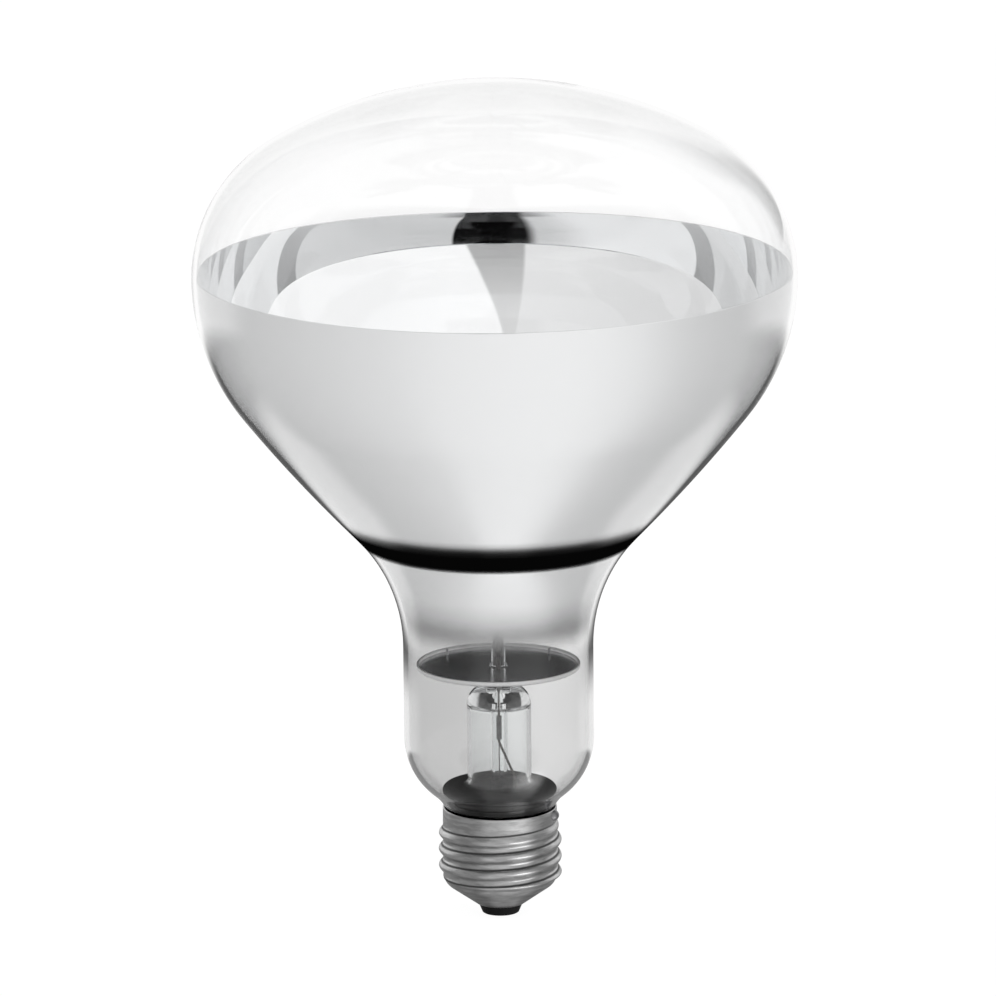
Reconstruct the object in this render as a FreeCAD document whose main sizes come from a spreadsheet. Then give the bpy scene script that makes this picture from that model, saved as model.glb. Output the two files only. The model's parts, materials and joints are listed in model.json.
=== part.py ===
import FreeCAD, Part
import math
import os
import Sketcher
from FreeCAD import Placement, Rotation, Vector

# Infrared reflector heat lamp with a large screw cap, modelled piece by piece.
#
# Millimetres. The lamp axis is Z, the screw cap is down and the clear face is up. The origin is the
# middle of the small flat on the centre contact, so every height is measured from where the lamp seats.
# Azimuth 0 is +X. The photograph looks at the lamp from -Y.

DIMENSIONS = {
    # glass bulb
    "bulb_diameter": 127.0,
    "face_rise": 40.6,
    "upper_shoulder": 32.4,
    "lower_shoulder": 43.2,
    "flank_radius": 112.0,
    "cone_angle": 45.7,
    "cone_share": 0.5078,
    "neck_fillet": 36.9,
    "neck_diameter": 40.2,
    "neck_length": 19.4065,
    "base_shoulder": 15.5,
    "throat_radius": 9.0,
    "throat_drop": 3.9,
    "stub_length": 2.9,
    "glass_wall": 1.0,
    # mirror coating on the inside of the glass
    "mirror_rise": 1.7,
    "mirror_foot": 1.4,
    "mirror_thickness": 0.12,
    "glass_gap": 0.05,
    # glass stem: flare, tube and flattened press
    "stem_clearance": 2.9,
    "stem_wall": 0.9,
    "flange_rise": 8.3,
    "flange_fillet": 2.0,
    "flange_corner": 1.4,
    "dome_radius": 4.6,
    "dome_height": 5.1,
    "dome_solid": 4.3,
    "dome_flat": 2.6,
    "ceiling_corner": 0.9,
    "stem_rise": 26.0,
    "press_height": 3.6,
    "press_root": 2.6,
    "press_width": 9.6,
    "press_thickness": 5.2,
    "press_edge": 1.2,
    # exhaust tube and its way out through the press
    "exhaust_diameter": 3.7,
    "exhaust_bore": 2.1,
    "exhaust_drop": 3.4,
    "tip_thickness": 1.2,
    "blow_hole": 1.8,
    "blow_drop": 1.6,
    # glass rod that carries the filament hooks
    "rod_diameter": 3.0,
    "button_diameter": 5.6,
    "button_height": 4.0,
    "button_edge": 0.8,
    # wires
    "wire_gap": 0.02,
    "lead_clearance": 0.5,
    "inner_lead": 1.0,
    "outer_lead": 0.5,
    "lead_seal": 4.2,
    "lead_rise": 10.0,
    "lead_drop": 8.0,
    "lead_bend": 4.0,
    "sleeve_diameter": 1.1,
    "sleeve_drop": 2.0,
    "sleeve_length": 5.1,
    "jog_drop": 7.7,
    "jog_length": 8.0,
    "jog_share": 0.571,
    "jog_bend": 1.0,
    "stub_clearance": 1.5,
    "rim_lead_angle": -18.0,
    "rim_lead_drop": 0.9,
    "rim_lead_reach": 0.55,
    "rim_lead_bend": 0.55,
    "centre_lead_slope": 4.0,
    "centre_lead_bend": 1.6,
    # filament
    "filament_rise": 37.8,
    "ring_radius": 15.0,
    "ring_sweep": 230.0,
    "coil_diameter": 1.6,
    "hook_wire": 0.36,
    "hook_spread": 160.0,
    "hook_depth": 1.4,
    "hook_turn": 260.0,
    "clamp_length": 2.4,
    "clamp_wall": 0.4,
    # heat shield
    "shield_clearance": 1.8,
    "shield_thickness": 0.4,
    "shield_lip": 1.1,
    "shield_bend": 0.7,
    "slot_width": 3.8,
    "slot_length": 7.0,
    "shield_wire": 0.5,
    "shield_wire_inset": 2.8,
    "shield_wire_angle": 41.0,
    "shield_wire_tip": 1.3,
    "shield_wire_drop": 1.4,
    "shield_wire_stub": 2.4,
    "shield_wire_bend": 0.6,
    "socket_depth": 1.0,
    "fit_gap": 0.1,
    # screw cap
    "thread_diameter": 26.1,
    "thread_depth": 0.95,
    "thread_pitch": 3.629,
    "thread_phase": 12.8,
    "thread_length": 12.3,
    "thread_start": 1.3,
    "thread_end": 4.0,
    "collar_height": 3.1692,
    "shell_wall": 0.35,
    "cap_shoulder": 2.6,
    "cap_cone_angle": 52.0,
    "cap_mouth_radius": 5.3,
    "cap_mouth_height": 1.75,
    "notch_width": 0.8,
    "notch_depth": 1.3,
    "notch_reach": 1.6,
    # black glass insulator, centre contact and solder
    "insulator_rim": 4.0,
    "insulator_drop": 0.68,
    "insulator_hole": 1.1,
    "contact_diameter": 7.2,
    "contact_thickness": 0.45,
    "contact_edge": 0.25,
    "contact_hole": 1.6,
    "solder_diameter": 3.8,
    "solder_height": 0.45,
    "solder_flat": 2.2,
    "solder_curve": 0.8,
    "rim_solder_radius": 1.18,
    "rim_solder_drop": 1.25,
    "rim_solder_sink": 0.15,
    # cement between the cap and the bulb
    "cement_width": 1.05,
    "cement_below": 0.9,
    "cement_drop": 1.35,
}

HOOK_COUNT = 5
RINGS_PER_TURN = 12
FULL_TURN_ANGLE = 360
HALF_TURN_ANGLE = FULL_TURN_ANGLE / 2
DOWN_ANGLE = -FULL_TURN_ANGLE / 4
START, END, CENTRE = range(1, 4)
UP_AXIS, ACROSS_AXIS = range(-2, 0)
ORIGIN = ACROSS_AXIS
LAMP_AXIS = Vector(0, 0, 1)

doc = FreeCAD.newDocument("HeatLamp")
sheet = doc.addObject("Spreadsheet::Sheet", "Dims")
for row, (alias, value) in enumerate(DIMENSIONS.items(), start=1):
    sheet.set(f"A{row}", alias)
    sheet.set(f"B{row}", str(value))
    sheet.setAlias(f"B{row}", alias)
doc.recompute()


class Size:
    """A number with the spreadsheet expression that it comes from, so that one sum gives both."""

    def __init__(self, value, words):
        self.value = value
        self.words = words

    def __float__(self):
        return self.value

    def __neg__(self):
        return Size(-self.value, f"(-{self.words})")

    def __add__(self, other):
        return joined(self, "+", other, self.value + float(other))

    def __radd__(self, other):
        return joined(other, "+", self, float(other) + self.value)

    def __sub__(self, other):
        return joined(self, "-", other, self.value - float(other))

    def __rsub__(self, other):
        return joined(other, "-", self, float(other) - self.value)

    def __mul__(self, other):
        return joined(self, "*", other, self.value * float(other))

    def __rmul__(self, other):
        return joined(other, "*", self, float(other) * self.value)

    def __truediv__(self, other):
        return joined(self, "/", other, self.value / float(other))


def words_of(amount):
    return amount.words if isinstance(amount, Size) else f"{float(amount):.12g}"


def joined(first, sign, second, value):
    return Size(value, f"({words_of(first)} {sign} {words_of(second)})")


def root(amount):
    return Size(math.sqrt(float(amount)), f"sqrt({words_of(amount)})")


def cosine(angle):
    return Size(math.cos(math.radians(float(angle))), f"cos({words_of(angle)})")


def sine(angle):
    return Size(math.sin(math.radians(float(angle))), f"sin({words_of(angle)})")


class Sizes:
    """The named cells of the sheet, each as a Size."""

    def __getattr__(self, alias):
        return Size(float(getattr(sheet, alias)), f"Dims.{alias}")


dims = Sizes()

# Places that several pieces share

cone_sine = sine(dims.cap_cone_angle)
cone_cosine = cosine(dims.cap_cone_angle)
root_radius = dims.thread_diameter / 2 - dims.thread_depth
shoulder_middle = root_radius - dims.cap_shoulder
shoulder_height = (
    dims.cap_mouth_height
    + (shoulder_middle + dims.cap_shoulder * cone_cosine - dims.cap_mouth_radius) * cone_cosine / cone_sine
    + dims.cap_shoulder * cone_sine
)
cap_rim = shoulder_height + dims.thread_length + dims.collar_height
shell_inside = root_radius - dims.shell_wall
stub_radius = shell_inside - dims.cement_width
neck_radius = dims.neck_diameter / 2
throat_height = cap_rim - dims.throat_drop
throat_middle = stub_radius + dims.throat_radius
throat_reach = dims.base_shoulder + dims.throat_radius
throat_run = throat_middle - neck_radius + dims.base_shoulder
neck_bottom = throat_height + root(throat_reach * throat_reach - throat_run * throat_run)
stub_end = throat_height - dims.stub_length
neck_top = neck_bottom + dims.neck_length

# The slope between the widest place and the neck: cone_share of its width is the straight cone, and
# the flank takes the rest. The turn is the angle at which the lower shoulder runs into the flank.

slope_sine = cosine(dims.cone_angle)
slope_cosine = sine(dims.cone_angle)
slope_curves = (dims.lower_shoulder + dims.neck_fillet) * (1 - slope_cosine)
slope_width = dims.bulb_diameter / 2 - neck_radius - slope_curves
cone_width = slope_width * dims.cone_share
flank_reach = dims.flank_radius - dims.lower_shoulder
turn_cosine = slope_cosine + (slope_width - cone_width) / flank_reach
turn_sine = root(1 - turn_cosine * turn_cosine)
widest_height = (
    neck_top
    + (dims.neck_fillet + dims.flank_radius) * slope_sine
    + cone_width * slope_cosine / slope_sine
    - flank_reach * turn_sine
)
top_height = widest_height + dims.face_rise

mirror_rim = widest_height + dims.mirror_rise
mirror_end = neck_top + dims.mirror_foot
flange_top = throat_height + dims.flange_rise
press_top = flange_top + dims.stem_rise
stem_radius = stub_radius - dims.glass_wall - dims.stem_clearance
stem_top = press_top - dims.press_height
stem_ceiling = stem_top - dims.dome_solid
exhaust_tip = stub_end - dims.exhaust_drop
lead_joint = press_top - dims.lead_seal
lead_offset = dims.exhaust_diameter / 2 + dims.outer_lead / 2 + dims.lead_clearance
stem_space = stem_radius - dims.stem_wall - dims.exhaust_diameter / 2
jog_radius = dims.exhaust_diameter / 2 + stem_space * dims.jog_share
jog_across = root(jog_radius * jog_radius - lead_offset * lead_offset)
filament_height = press_top + dims.filament_rise
loop_radius = dims.coil_diameter / 2 + dims.fit_gap + dims.hook_wire / 2
hook_height = filament_height - loop_radius
shield_radius = neck_radius - dims.glass_wall - dims.shield_clearance
shield_wire_radius = shield_radius - dims.shield_wire_inset
shield_wire_height = press_top - dims.shield_wire_drop
shield_wire_across = shield_wire_radius * cosine(dims.shield_wire_angle)
shield_wire_along = shield_wire_radius * sine(dims.shield_wire_angle)
rim_lead_radius = shell_inside - dims.glass_gap - dims.outer_lead / 2
rim_lead_height = cap_rim - dims.rim_lead_drop
insulator_seat = dims.solder_height + dims.contact_thickness
insulator_top = shoulder_height - dims.cap_shoulder * cone_sine - dims.insulator_drop
cement_top = cap_rim - dims.cement_drop

pieces = []


class Outline:
    """A closed outline in a sketch, drawn edge after edge and held by constraints on the sheet's cells."""

    def __init__(self, body, name, plane="XZ_Plane", lift=None):
        face = [feature for feature in body.Origin.OriginFeatures if feature.Role == plane][0]
        self.sketch = body.newObject("Sketcher::SketchObject", name)
        self.sketch.AttachmentSupport = (face, [""])
        self.sketch.MapMode = "FlatFace"
        if lift is not None:
            self.sketch.setExpression("AttachmentOffset.Base.z", lift.words)
        self.edges = []

    def line(self, start, end):
        edge = self.sketch.addGeometry(Part.LineSegment(Vector(*start), Vector(*end)), False)
        self.edges.append((edge, START, END))
        return edge

    def arc(self, middle, radius, start_angle, end_angle):
        """An arc from one angle to the other, in degrees, the way the outline runs."""
        clockwise = end_angle < start_angle
        low, high = sorted((math.radians(start_angle), math.radians(end_angle)))
        circle = Part.Circle(Vector(*middle), Vector(0, 0, 1), radius)
        edge = self.sketch.addGeometry(Part.ArcOfCircle(circle, low, high), False)
        self.edges.append((edge, END, START) if clockwise else (edge, START, END))
        return edge

    def hold(self, kind, *where, by=None):
        """Adds a constraint. Where a size is given, the constraint is bound to its expression."""
        if by is None:
            self.sketch.addConstraint(Sketcher.Constraint(kind, *where))
            return
        drawn = math.radians(float(by)) if kind == "Angle" else float(by)
        number = self.sketch.addConstraint(Sketcher.Constraint(kind, *where, drawn))
        if isinstance(by, Size):
            self.sketch.setExpression(f"Constraints[{number}]", by.words)

    def at(self, edge, point, across=None, up=None):
        """Holds a point of an edge at a distance from the axis and at a height."""
        for kind, axis, amount in (("DistanceX", UP_AXIS, across), ("DistanceY", ACROSS_AXIS, up)):
            if isinstance(amount, Size):
                self.hold(kind, ORIGIN, START, edge, point, by=amount)
            elif amount is not None:
                self.hold("PointOnObject", edge, point, axis)

    def meet(self, kind, first, second):
        """Joins the end of one edge to the start of another: Coincident, or Tangent as well."""
        edge, _, end = self.edges[first]
        following, start, _ = self.edges[second]
        self.hold(kind, edge, end, following, start)

    def bridge(self, first, second):
        """A straight edge from the end of one edge to the start of another."""
        edge, _, end = self.edges[first]
        following, start, _ = self.edges[second]
        here = self.sketch.getPoint(edge, end)
        there = self.sketch.getPoint(following, start)
        self.line((here.x, here.y), (there.x, there.y))
        self.meet("Coincident", first, len(self.edges) - 1)
        self.meet("Coincident", len(self.edges) - 1, second)

    def polygon(self, corners, bulges=None):
        """Outline through corners, each (across, up), where 0 lies on the axis.

        bulges gives the edges that are arcs: edge number to (radius, side), where side is 1 for a
        centre to the left of the edge as it runs and -1 for a centre to its right.
        """
        bulges = bulges or {}
        places = [(float(across), float(up)) for across, up in corners]
        first = len(self.edges)
        for number, start in enumerate(places):
            end = places[(number + 1) % len(places)]
            if number in bulges:
                radius, side = bulges[number]
                middle, angles = arc_between(start, end, float(radius), side)
                edge = self.arc(middle, float(radius), *angles)
                self.hold("Radius", edge, by=radius)
            else:
                self.line(start, end)
        last = len(self.edges) - 1
        for number in range(first, last):
            self.meet("Coincident", number, number + 1)
        self.meet("Coincident", last, first)
        for number, (across, up) in enumerate(corners):
            edge, start, _ = self.edges[first + number]
            self.at(edge, start, across, up)

    def circle(self, across, up, radius):
        place = Vector(float(across), float(up), 0)
        edge = self.sketch.addGeometry(Part.Circle(place, Vector(0, 0, 1), float(radius)), False)
        self.hold("Radius", edge, by=radius)
        self.at(edge, CENTRE, across, up)


def arc_between(start, end, radius, side):
    """Centre, and the two angles in degrees, of the short arc of this radius from start to end."""
    here, there = Vector(*start, 0), Vector(*end, 0)
    chord = there - here
    reach = math.sqrt(max(radius**2 - (chord.Length / 2) ** 2, 0))
    left = Vector(-chord.y, chord.x, 0).normalize()
    middle = (here + there) / 2 + left * reach * side
    first = math.degrees(math.atan2(here.y - middle.y, here.x - middle.x))
    second = math.degrees(math.atan2(there.y - middle.y, there.x - middle.x))
    turn = (second - first + 180) % 360 - 180
    return (middle.x, middle.y), (first, first + turn)


def new_body(label):
    body = doc.addObject("PartDesign::Body", label)
    body.Label = label
    pieces.append(body)
    return body


def add(body, kind, name, outline, **settings):
    """A feature made from an outline. A setting given as a Size is bound to its expression."""
    feature = body.newObject(f"PartDesign::{kind}", name)
    feature.Profile = outline.sketch
    if kind in ("Revolution", "Groove"):
        feature.ReferenceAxis = (outline.sketch, ["V_Axis"])
    for setting, amount in settings.items():
        if isinstance(amount, Size):
            feature.setExpression(setting, amount.words)
        else:
            setattr(feature, setting, amount)
    doc.recompute()
    return feature


def solid(label, shape):
    piece = doc.addObject("Part::Feature", label)
    piece.Label = label
    piece.Shape = shape
    piece.Placement = Placement()
    pieces.append(piece)
    return piece


def around(radius, azimuth, height):
    """A point at a distance from the lamp axis, an azimuth in degrees and a height."""
    turn = math.radians(float(azimuth))
    return Vector(float(radius) * math.cos(turn), float(radius) * math.sin(turn), float(height))


def bent_wire(points, bend, diameter):
    """Round wire along straight runs that are joined by tangent arcs of one bend radius."""
    edges = []
    here = points[0]
    for before, corner, after in zip(points, points[1:], points[2:]):
        into = (corner - before).normalize()
        out = (after - corner).normalize()
        half_turn = into.getAngle(out) / 2
        start = corner - into * float(bend) * math.tan(half_turn)
        end = corner + out * float(bend) * math.tan(half_turn)
        inside = (out - into).normalize() * float(bend) * (1 / math.cos(half_turn) - 1)
        edges.append(Part.LineSegment(here, start).toShape())
        edges.append(Part.Arc(start, corner + inside, end).toShape())
        here = end
    edges.append(Part.LineSegment(here, points[-1]).toShape())
    ring = Part.Circle(points[0], points[1] - points[0], float(diameter) / 2)
    return Part.Wire(edges).makePipeShell([Part.Wire(ring.toShape())], True, False)


# The blown bulb's outline, worked out once for every piece that follows the glass

FACE, UPPER, LOWER, FLANK, CONE, FILLET, NECK, BASE, THROAT, STUB = range(10)


def outward(angle):
    """Unit vector in a lengthwise section, at an angle in degrees above the radial direction."""
    return Vector(math.cos(math.radians(angle)), math.sin(math.radians(angle)), 0)


def face_radius():
    """Radius of the domed face, which is tangent to the upper shoulder."""
    across = float(dims.bulb_diameter / 2 - dims.upper_shoulder)
    rise = float(dims.face_rise)
    shoulder = float(dims.upper_shoulder)
    return (across**2 + rise**2 - shoulder**2) / (2 * (rise - shoulder))


def glass_edges(inset):
    """The ten edges of the glass outline, set in by a distance, from the face down to the stub.

    Each arc is (centre, radius, outward angle at its start, at its end, side), where side is 1 for
    an arc that bulges outwards and -1 for one that curves in. Each straight edge is (start, end).
    """
    high = float(widest_height)
    upper, lower = float(dims.upper_shoulder), float(dims.lower_shoulder)
    flank, fillet = float(dims.flank_radius), float(dims.neck_fillet)
    half, neck, stub = float(dims.bulb_diameter / 2), float(neck_radius), float(stub_radius)
    base, throat_curve = float(dims.base_shoulder), float(dims.throat_radius)
    fall = math.degrees(math.acos(float(slope_cosine)))
    turn = math.degrees(math.acos(float(turn_cosine)))
    throat = math.degrees(math.acos(float(throat_run / throat_reach)))
    face_centre = Vector(0, float(top_height) - face_radius(), 0)
    upper_centre = Vector(half - upper, high, 0)
    lower_centre = Vector(half - lower, high, 0)
    flank_centre = lower_centre - outward(-turn) * (flank - lower)
    fillet_centre = Vector(neck + fillet, float(neck_top), 0)
    base_centre = Vector(neck - base, float(neck_bottom), 0)
    throat_centre = Vector(float(throat_middle), float(throat_height), 0)
    lean = upper_centre - face_centre
    rise = math.degrees(math.atan2(lean.y, lean.x))
    normal = outward(-fall)
    return [
        (face_centre, face_radius() - inset, 90, rise, 1),
        (upper_centre, upper - inset, rise, 0, 1),
        (lower_centre, lower - inset, 0, -turn, 1),
        (flank_centre, flank - inset, -turn, -fall, 1),
        (flank_centre + normal * (flank - inset), fillet_centre - normal * (fillet + inset)),
        (fillet_centre, fillet + inset, -fall, 0, -1),
        (Vector(neck - inset, fillet_centre.y, 0), Vector(neck - inset, base_centre.y, 0)),
        (base_centre, base - inset, 0, -throat, 1),
        (throat_centre, throat_curve + inset, -throat, 0, -1),
        (Vector(stub - inset, throat_centre.y, 0), Vector(stub - inset, float(stub_end), 0)),
    ]


def angle_at(edge, height):
    """Outward angle in degrees at which an arc of the glass outline passes a height."""
    middle, radius, _, _, side = edge
    return math.degrees(math.asin((float(height) - middle.y) / radius * side))


def follow_glass(outline, inset, first, last, upwards=False, top=None, bottom=None):
    """Draws the glass outline from edge first to edge last, set in by a distance, and holds it.

    top and bottom are the heights where the first and the last edge are cut short.
    """
    shapes = glass_edges(float(inset))
    kinds = list(range(first, last + 1))
    if upwards:
        kinds.reverse()
    numbers = {}
    for kind in kinds:
        numbers[kind] = len(outline.edges)
        if len(shapes[kind]) == 2:
            start, end = shapes[kind]
            if upwards:
                start, end = end, start
            outline.line((start.x, start.y), (end.x, end.y))
            continue
        middle, radius, begin, finish, side = shapes[kind]
        if top is not None and kind == first:
            begin = angle_at(shapes[kind], top)
        if bottom is not None and kind == last:
            finish = angle_at(shapes[kind], bottom)
        flip = 0 if side > 0 else 180
        angles = (finish + flip, begin + flip) if upwards else (begin + flip, finish + flip)
        outline.arc((middle.x, middle.y), radius, *angles)
    for kind, following in zip(kinds, kinds[1:]):
        outline.meet("Tangent", numbers[kind], numbers[following])
    hold_glass(outline, numbers, inset, upwards)
    upper_end = 1 if not upwards else 2
    lower_end = 3 - upper_end
    if top is not None:
        edge = outline.edges[numbers[first]]
        outline.at(edge[0], edge[upper_end], None, top)
    if bottom is not None:
        edge = outline.edges[numbers[last]]
        outline.at(edge[0], edge[lower_end], None, bottom)
    return numbers


def hold_glass(outline, numbers, inset, upwards):
    """Holds the glass outline: its radii, widest place, cone, neck, throat and stub."""
    radii = {
        UPPER: dims.upper_shoulder - inset,
        LOWER: dims.lower_shoulder - inset,
        FLANK: dims.flank_radius - inset,
        FILLET: dims.neck_fillet + inset,
        BASE: dims.base_shoulder - inset,
        THROAT: dims.throat_radius + inset,
    }
    ends = {}
    for kind, number in numbers.items():
        edge, start, end = outline.edges[number]
        ends[kind] = (edge, end, start) if upwards else (edge, start, end)
        if kind in radii:
            outline.hold("Radius", edge, by=radii[kind])
    if FACE in ends:
        edge, high, _ = ends[FACE]
        outline.at(edge, high, 0, top_height - inset)
        outline.at(edge, CENTRE, 0)
    if UPPER in ends:
        edge, _, low = ends[UPPER]
        outline.at(edge, CENTRE, None, widest_height)
        outline.at(edge, low, dims.bulb_diameter / 2 - inset, widest_height)
    if CONE in ends:
        slope = dims.cone_angle if upwards else dims.cone_angle - 180
        outline.hold("Angle", ends[CONE][0], by=slope)
    if FILLET in ends:
        middle = None if NECK in ends else neck_radius + dims.neck_fillet
        outline.at(ends[FILLET][0], CENTRE, middle, neck_top)
    if NECK in ends:
        edge, _, low = ends[NECK]
        outline.hold("Vertical", edge)
        outline.at(edge, low, neck_radius - inset)
    if THROAT in ends:
        outline.at(ends[THROAT][0], CENTRE, None, throat_height)
    if STUB in ends:
        edge, _, low = ends[STUB]
        outline.hold("Vertical", edge)
        outline.at(edge, low, stub_radius - inset, stub_end)


def make_glass_bulb():
    """Blown bulb: one even wall from the domed face to the stub that goes into the cap."""
    body = new_body("glass_bulb")
    outline = Outline(body, "bulb_section")
    outside = follow_glass(outline, 0, FACE, STUB)
    inside = follow_glass(outline, dims.glass_wall, FACE, STUB, upwards=True)
    outline.bridge(outside[STUB], inside[STUB])
    outline.bridge(inside[FACE], outside[FACE])
    add(body, "Revolution", "blown_bulb", outline, Angle=360)


def make_mirror_coating():
    """Mirror film on the inside of the glass, from above the widest place down to the neck."""
    body = new_body("mirror_coating")
    outline = Outline(body, "mirror_section")
    glass_side = dims.glass_wall + dims.glass_gap
    cut = {"top": mirror_rim, "bottom": mirror_end}
    outside = follow_glass(outline, glass_side, UPPER, FILLET, **cut)
    inside = follow_glass(outline, glass_side + dims.mirror_thickness, UPPER, FILLET, upwards=True, **cut)
    outline.bridge(outside[FILLET], inside[FILLET])
    outline.bridge(inside[UPPER], outside[UPPER])
    add(body, "Revolution", "mirror_film", outline, Angle=360)


def make_stem_flare():
    """Stem: a tube whose lower end flares out to the bulb's neck seal and whose top is pressed flat."""
    body = new_body("stem_flare")
    outer = stem_radius
    inner = outer - dims.stem_wall
    skirt = dims.throat_radius + dims.glass_wall + dims.glass_gap
    skirt_radius = throat_middle - skirt
    corner_rise = dims.flange_rise - dims.flange_corner
    corner_height = throat_height + corner_rise
    corner = throat_middle - root(skirt * skirt - corner_rise * corner_rise)
    lining = skirt + dims.stem_wall
    inner_corner = throat_middle - root(lining * lining - corner_rise * corner_rise)
    inner_edge = dims.flange_corner - dims.stem_wall
    fillet = dims.flange_fillet
    dome_foot = stem_top - dims.dome_height
    ceiling = dims.ceiling_corner
    section = Outline(body, "stem_section")
    section.polygon(
        [
            (skirt_radius, stub_end),
            (skirt_radius, throat_height),
            (corner, corner_height),
            (corner - dims.flange_corner, flange_top),
            (outer + fillet, flange_top),
            (outer, flange_top + fillet),
            (outer, dome_foot),
            (dims.dome_flat, stem_top),
            (0, stem_top),
            (0, stem_ceiling),
            (inner - ceiling, stem_ceiling),
            (inner, stem_ceiling - ceiling),
            (inner, flange_top + fillet),
            (outer + fillet, flange_top - dims.stem_wall),
            (inner_corner - inner_edge, flange_top - dims.stem_wall),
            (inner_corner, corner_height),
            (skirt_radius - dims.stem_wall, throat_height),
            (skirt_radius - dims.stem_wall, stub_end),
        ],
        {
            1: (skirt, -1),
            2: (dims.flange_corner, 1),
            4: (fillet, -1),
            6: (dims.dome_radius, 1),
            10: (ceiling, -1),
            12: (fillet + dims.stem_wall, 1),
            14: (inner_edge, -1),
            15: (lining, 1),
        },
    )
    add(body, "Revolution", "flare", section, Angle=360)
    press = Outline(body, "press_outline", "XY_Plane", stem_top - dims.press_root)
    press.polygon(*rounded_corners(dims.press_thickness / 2, dims.press_width / 2, dims.press_edge))
    add(body, "Pad", "press", press, Length=dims.press_height + dims.press_root)
    blow_height = stem_top - dims.blow_drop
    bore_top = blow_height + dims.blow_hole / 2
    bore = Outline(body, "bore_outline", "XY_Plane", bore_top)
    bore.circle(0, 0, dims.exhaust_bore / 2)
    add(body, "Pocket", "bore", bore, Length=bore_top - stem_ceiling)
    blow = Outline(body, "blow_outline", "YZ_Plane")
    blow.circle(0, blow_height, dims.blow_hole / 2)
    add(body, "Pocket", "blow_hole", blow, Length=outer * 2, Midplane=True)
    for name, wire, top, depth in (
        ("inner_lead", dims.inner_lead, press_top, dims.lead_seal),
        ("outer_lead", dims.outer_lead, lead_joint, lead_joint - stem_ceiling + ceiling),
    ):
        seal = Outline(body, f"{name}_outline", "XY_Plane", top)
        for offset in (-lead_offset, lead_offset):
            seal.circle(0, offset, wire / 2 + dims.wire_gap)
        add(body, "Pocket", f"{name}_seal", seal, Length=depth)
    socket = Outline(body, "socket_outline", "YZ_Plane", dims.press_thickness / 2)
    socket.circle(0, shield_wire_height, dims.shield_wire / 2 + dims.wire_gap)
    one_side = add(body, "Pocket", "shield_wire_socket", socket, Length=dims.socket_depth)
    other_side = body.newObject("PartDesign::Mirrored", "other_socket")
    other_side.Originals = [one_side]
    other_side.MirrorPlane = ([f for f in body.Origin.OriginFeatures if f.Role == "YZ_Plane"][0], [""])
    body.Tip = other_side


def rounded_corners(across, along, edge):
    """Corners and corner arcs of a rectangle with rounded corners, from its half sizes."""
    corners = [
        (across, -(along - edge)),
        (across, along - edge),
        (across - edge, along),
        (-(across - edge), along),
        (-across, along - edge),
        (-across, -(along - edge)),
        (-(across - edge), -along),
        (across - edge, -along),
    ]
    return corners, {number: (edge, 1) for number in (1, 3, 5, 7)}


def make_exhaust_tube():
    """Thin glass tube inside the stem, through which the bulb was pumped, with its tip melted shut."""
    body = new_body("exhaust_tube")
    outer = dims.exhaust_diameter / 2
    inner = dims.exhaust_bore / 2
    tip = exhaust_tip
    section = Outline(body, "tube_section")
    section.polygon(
        [
            (0, tip),
            (outer, tip + outer),
            (outer, stem_ceiling),
            (inner, stem_ceiling),
            (inner, tip + dims.tip_thickness + inner),
            (0, tip + dims.tip_thickness),
        ],
        {0: (outer, 1), 4: (inner, -1)},
    )
    add(body, "Revolution", "tube", section, Angle=360)


def make_support_rod():
    """Glass rod on the press, with a button on its end that the filament hooks are melted into."""
    body = new_body("support_rod")
    rod = dims.rod_diameter / 2
    button = dims.button_diameter / 2
    edge = dims.button_edge
    low = hook_height - dims.button_height / 2
    high = hook_height + dims.button_height / 2
    section = Outline(body, "rod_section")
    section.polygon(
        [
            (0, press_top),
            (rod, press_top),
            (rod, low),
            (button - edge, low),
            (button, low + edge),
            (button, high - edge),
            (button - edge, high),
            (0, high),
        ],
        {3: (edge, 1), 5: (edge, 1)},
    )
    add(body, "Revolution", "rod", section, Angle=360)
    hole = Outline(body, "hook_hole_outline", "YZ_Plane")
    hole.sketch.AttachmentOffset = Placement(Vector(), Rotation(Vector(0, 1, 0), 1))
    hole.sketch.setExpression("AttachmentOffset.Rotation.Angle", (-dims.hook_spread / 2).words)
    offset = dims.button_diameter / 2
    hole.sketch.setExpression("AttachmentOffset.Base.z", (offset * cosine(dims.hook_spread / 2)).words)
    hole.sketch.setExpression("AttachmentOffset.Base.x", (-offset * sine(dims.hook_spread / 2)).words)
    hole.circle(0, hook_height, dims.hook_wire / 2 + dims.wire_gap)
    first = add(body, "Pocket", "hook_hole", hole, Length=dims.hook_depth)
    ring = body.newObject("PartDesign::PolarPattern", "hook_holes")
    ring.Originals = [first]
    ring.Axis = (section.sketch, ["V_Axis"])
    ring.setExpression("Angle", dims.hook_spread.words)
    ring.Occurrences = HOOK_COUNT
    body.Tip = ring


def make_filament():
    """Tungsten coil bent to an open ring, as the tube that its fine turns lie on."""
    body = new_body("filament")
    section = Outline(body, "coil_section")
    section.circle(dims.ring_radius, filament_height, dims.coil_diameter / 2)
    add(body, "Revolution", "coil", section, Angle=dims.ring_sweep, Midplane=True)


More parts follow.
